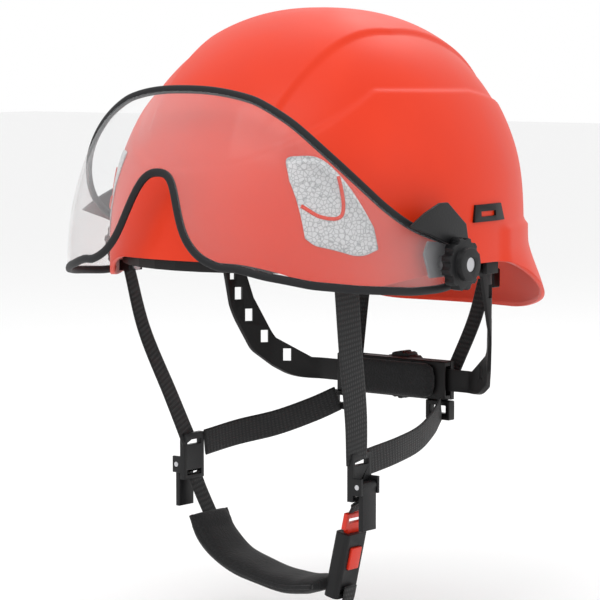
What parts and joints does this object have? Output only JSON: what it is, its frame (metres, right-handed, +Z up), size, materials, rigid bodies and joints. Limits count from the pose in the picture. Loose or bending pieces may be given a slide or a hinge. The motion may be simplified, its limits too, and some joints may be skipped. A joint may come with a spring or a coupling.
{
  "type": "climbing helmet",
  "caption": "Hard-shell climbing helmet with a tilting clear visor, a wheel-adjusted headband and a webbing chin strap with a quick-release buckle.",
  "frame": {"origin": "where the head carries the helmet: middle of the headband, level with the front rim", "axes": "-Y to the front, +X to the wearer's left, +Z up"},
  "size_m": [0.27, 0.3125, 0.3517],
  "materials": {
    "shell_plastic": "satin orange-red",
    "foam": "moulded foam",
    "padding": "soft black fabric",
    "reflective": "retroreflective film",
    "band_plastic": "black moulded nylon",
    "lens_clear": "clear polycarbonate",
    "edging_rubber": "dark grey rubber",
    "arm_grey": "grey plastic",
    "dark_plastic": "near-black plastic",
    "steel": "plain steel",
    "webbing": "ribbed black webbing",
    "red_plastic": "orange-red plastic"
  },
  "bodies": {
    "helmet": {"anchor_rivets": "steel", "band_clips": "band_plastic", "brow_pad": "padding", "buckle_tongue": "red_plastic", "crown_pad": "padding", "foam_liner": "foam", "front_headband": "band_plastic", "left_brim_hook": "band_plastic", "left_brim_strap": "webbing", "left_cradle_loop": "band_plastic", "left_front_strap": "webbing", "left_hanger_pin": "band_plastic", "left_lamp_clip": "band_plastic", "left_pivot_screw": "steel", "left_rear_strap": "webbing", "left_reflective_panel": "reflective", "left_strap_anchor": "band_plastic", "left_strap_divider": "dark_plastic", "lever_pins": "steel", "nape_cradle": "band_plastic", "nape_pad": "padding", "near_chin_strap": "webbing", "outer_shell": "shell_plastic", "pivot_washers": "steel", "ratchet_housing": "band_plastic", "right_brim_hook": "band_plastic", "right_brim_strap": "webbing", "right_cradle_loop": "band_plastic", "right_front_strap": "webbing", "right_hanger_pin": "band_plastic", "right_lamp_clip": "band_plastic", "right_pivot_screw": "steel", "right_rear_strap": "webbing", "right_reflective_panel": "reflective", "right_strap_anchor": "band_plastic", "right_strap_divider": "dark_plastic"},
    "visor": {"visor_lens": "lens_clear", "visor_edging": "edging_rubber", "left_visor_arm": "arm_grey", "right_visor_arm": "arm_grey", "left_visor_bracket": "dark_plastic", "right_visor_bracket": "dark_plastic"},
    "left_knob": {"left_pivot_knob": "dark_plastic"},
    "right_knob": {"right_pivot_knob": "dark_plastic"},
    "wheel": {"adjuster_wheel": "band_plastic", "pinion_gear": "band_plastic"},
    "left_arm": {"left_headband_arm": "band_plastic", "left_rack": "band_plastic"},
    "right_arm": {"right_headband_arm": "band_plastic", "right_rack": "band_plastic"},
    "left_lever": {"left_cam_lever": "dark_plastic"},
    "right_lever": {"right_cam_lever": "dark_plastic"},
    "chin": {"buckle_socket": "dark_plastic", "button_spring": "steel", "chin_pad": "padding", "strap_tail": "webbing", "far_chin_strap": "webbing"},
    "button": {"release_button": "red_plastic"}
  },
  "joints": [
    {"name": "visor_tilt", "type": "hinge", "parent": "helmet", "child": "visor", "pos_m": [0, -0.045, -0.004], "axis": [1, 0, 0], "range_deg": [0, 58]},
    {"name": "left_knob_turn", "type": "hinge", "parent": "helmet", "child": "left_knob", "pos_m": [0.128, -0.045, -0.004], "axis": [1, 0, 0], "range_deg": [0, 90]},
    {"name": "right_knob_turn", "type": "hinge", "parent": "helmet", "child": "right_knob", "pos_m": [-0.128, -0.045, -0.004], "axis": [1, 0, 0], "range_deg": [0, 90]},
    {"name": "wheel_turn", "type": "hinge", "parent": "helmet", "child": "wheel", "pos_m": [0, 0.0715, -0.088], "axis": [0, -1, 0], "range_deg": [0, 57]},
    {"name": "left_arm_slide", "type": "slide", "parent": "helmet", "child": "left_arm", "axis": [-1, 0, 0], "range_m": [0, 0.005]},
    {"name": "right_arm_slide", "type": "slide", "parent": "helmet", "child": "right_arm", "axis": [1, 0, 0], "range_m": [0, 0.005]},
    {"name": "left_lever_turn", "type": "hinge", "parent": "helmet", "child": "left_lever", "pos_m": [0.069, -0.055, -0.135], "axis": [0, -1, 0], "range_deg": [0, 100]},
    {"name": "right_lever_turn", "type": "hinge", "parent": "helmet", "child": "right_lever", "pos_m": [-0.069, -0.055, -0.135], "axis": [0, 1, 0], "range_deg": [0, 100]},
    {"name": "buckle_slide", "type": "slide", "parent": "helmet", "child": "chin", "axis": [-0.225, 0, -0.9744], "range_m": [0, 0.023], "deforming": ["far_chin_strap"]},
    {"name": "button_press", "type": "slide", "parent": "chin", "child": "button", "axis": [-0.9744, 0, 0.225], "range_m": [0, 0.0015], "stiffness_N_per_m": 800}
  ],
  "couplings": [
    {"joint": "left_arm_slide", "follows": "wheel_turn", "m_per_rad": 0.005},
    {"joint": "right_arm_slide", "follows": "wheel_turn", "m_per_rad": 0.005}
  ]
}
